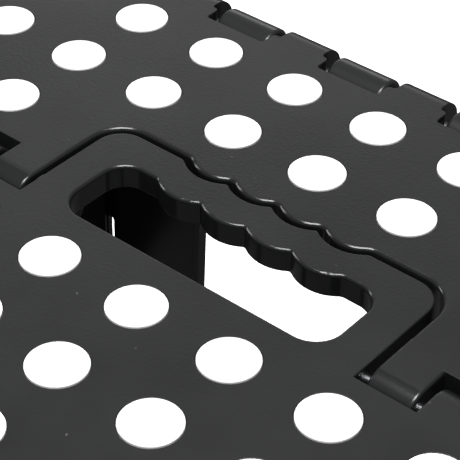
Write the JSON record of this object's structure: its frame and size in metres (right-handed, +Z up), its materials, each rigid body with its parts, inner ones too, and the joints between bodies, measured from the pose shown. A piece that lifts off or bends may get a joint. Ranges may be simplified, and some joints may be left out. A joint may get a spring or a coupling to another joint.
{
  "type": "folding step stool",
  "caption": "Folding step stool in black plastic: two hinged seat halves with white non-slip dots, a handle with a finger grip, arched legs and end panels that fold inwards.",
  "frame": {"origin": "on the floor under the middle of the seat", "axes": "+Z up, +X along the fold line of the seat, -Y towards the half with the handle"},
  "size_m": [0.2978, 0.222, 0.2254],
  "materials": {
    "black_plastic": "satin moulded polypropylene, finely grained on the seat",
    "white_rubber": "matte white non-slip rubber",
    "foot_rubber": "matte black rubber",
    "steel_wire": "drawn steel wire"
  },
  "bodies": {
    "front_leg": {"leg_front": "black_plastic", "leg_rod_front": "steel_wire", "leg_pin_right_front": "steel_wire", "leg_pin_left_front": "steel_wire", "foot_right_front": "foot_rubber", "foot_left_front": "foot_rubber"},
    "front_seat": {"seat_front": "black_plastic", "tread_dots_front": "white_rubber", "fold_rod_right": "steel_wire", "fold_rod_left": "steel_wire"},
    "rear_seat": {"seat_rear": "black_plastic", "tread_dots_rear": "white_rubber"},
    "rear_leg": {"leg_rear": "black_plastic", "leg_rod_rear": "steel_wire", "leg_pin_right_rear": "steel_wire", "leg_pin_left_rear": "steel_wire", "foot_right_rear": "foot_rubber", "foot_left_rear": "foot_rubber"},
    "right_front_panel": {"end_panel_right_front": "black_plastic"},
    "left_front_panel": {"end_panel_left_front": "black_plastic"},
    "right_rear_panel": {"end_panel_right_rear": "black_plastic", "centre_pin_right": "steel_wire"},
    "left_rear_panel": {"end_panel_left_rear": "black_plastic", "centre_pin_left": "steel_wire"}
  },
  "joints": [
    {"name": "fold", "type": "hinge", "parent": "front_leg", "child": "front_seat", "pos_m": [0, -0.1033, 0.2173], "axis": [1, 0, 0], "range_deg": [0, 83]},
    {"name": "seat_fold_line", "type": "hinge", "parent": "front_seat", "child": "rear_seat", "pos_m": [0, 0, 0.2173], "axis": [-1, 0, 0], "range_deg": [0, 166]},
    {"name": "rear_leg_hinge", "type": "hinge", "parent": "rear_seat", "child": "rear_leg", "pos_m": [0, 0.1033, 0.2173], "axis": [1, 0, 0], "range_deg": [0, 83]},
    {"name": "right_front_panel_hinge", "type": "hinge", "parent": "front_leg", "child": "right_front_panel", "pos_m": [0.1385, -0.1033, 0.14], "axis": [0, 0, 1], "range_deg": [0, 83]},
    {"name": "left_front_panel_hinge", "type": "hinge", "parent": "front_leg", "child": "left_front_panel", "pos_m": [-0.1385, -0.1033, 0.14], "axis": [0, 0, -1], "range_deg": [0, 83]},
    {"name": "right_rear_panel_hinge", "type": "hinge", "parent": "rear_leg", "child": "right_rear_panel", "pos_m": [0.1385, 0.1033, 0.14], "axis": [0, 0, -1], "range_deg": [0, 83]},
    {"name": "left_rear_panel_hinge", "type": "hinge", "parent": "rear_leg", "child": "left_rear_panel", "pos_m": [-0.1385, 0.1033, 0.14], "axis": [0, 0, 1], "range_deg": [0, 83]}
  ],
  "couplings": [
    {"joint": "seat_fold_line", "follows": "fold", "ratio": 2},
    {"joint": "rear_leg_hinge", "follows": "fold", "ratio": 1},
    {"joint": "right_front_panel_hinge", "follows": "fold", "ratio": 1},
    {"joint": "left_front_panel_hinge", "follows": "fold", "ratio": 1},
    {"joint": "right_rear_panel_hinge", "follows": "fold", "ratio": 1},
    {"joint": "left_rear_panel_hinge", "follows": "fold", "ratio": 1}
  ]
}
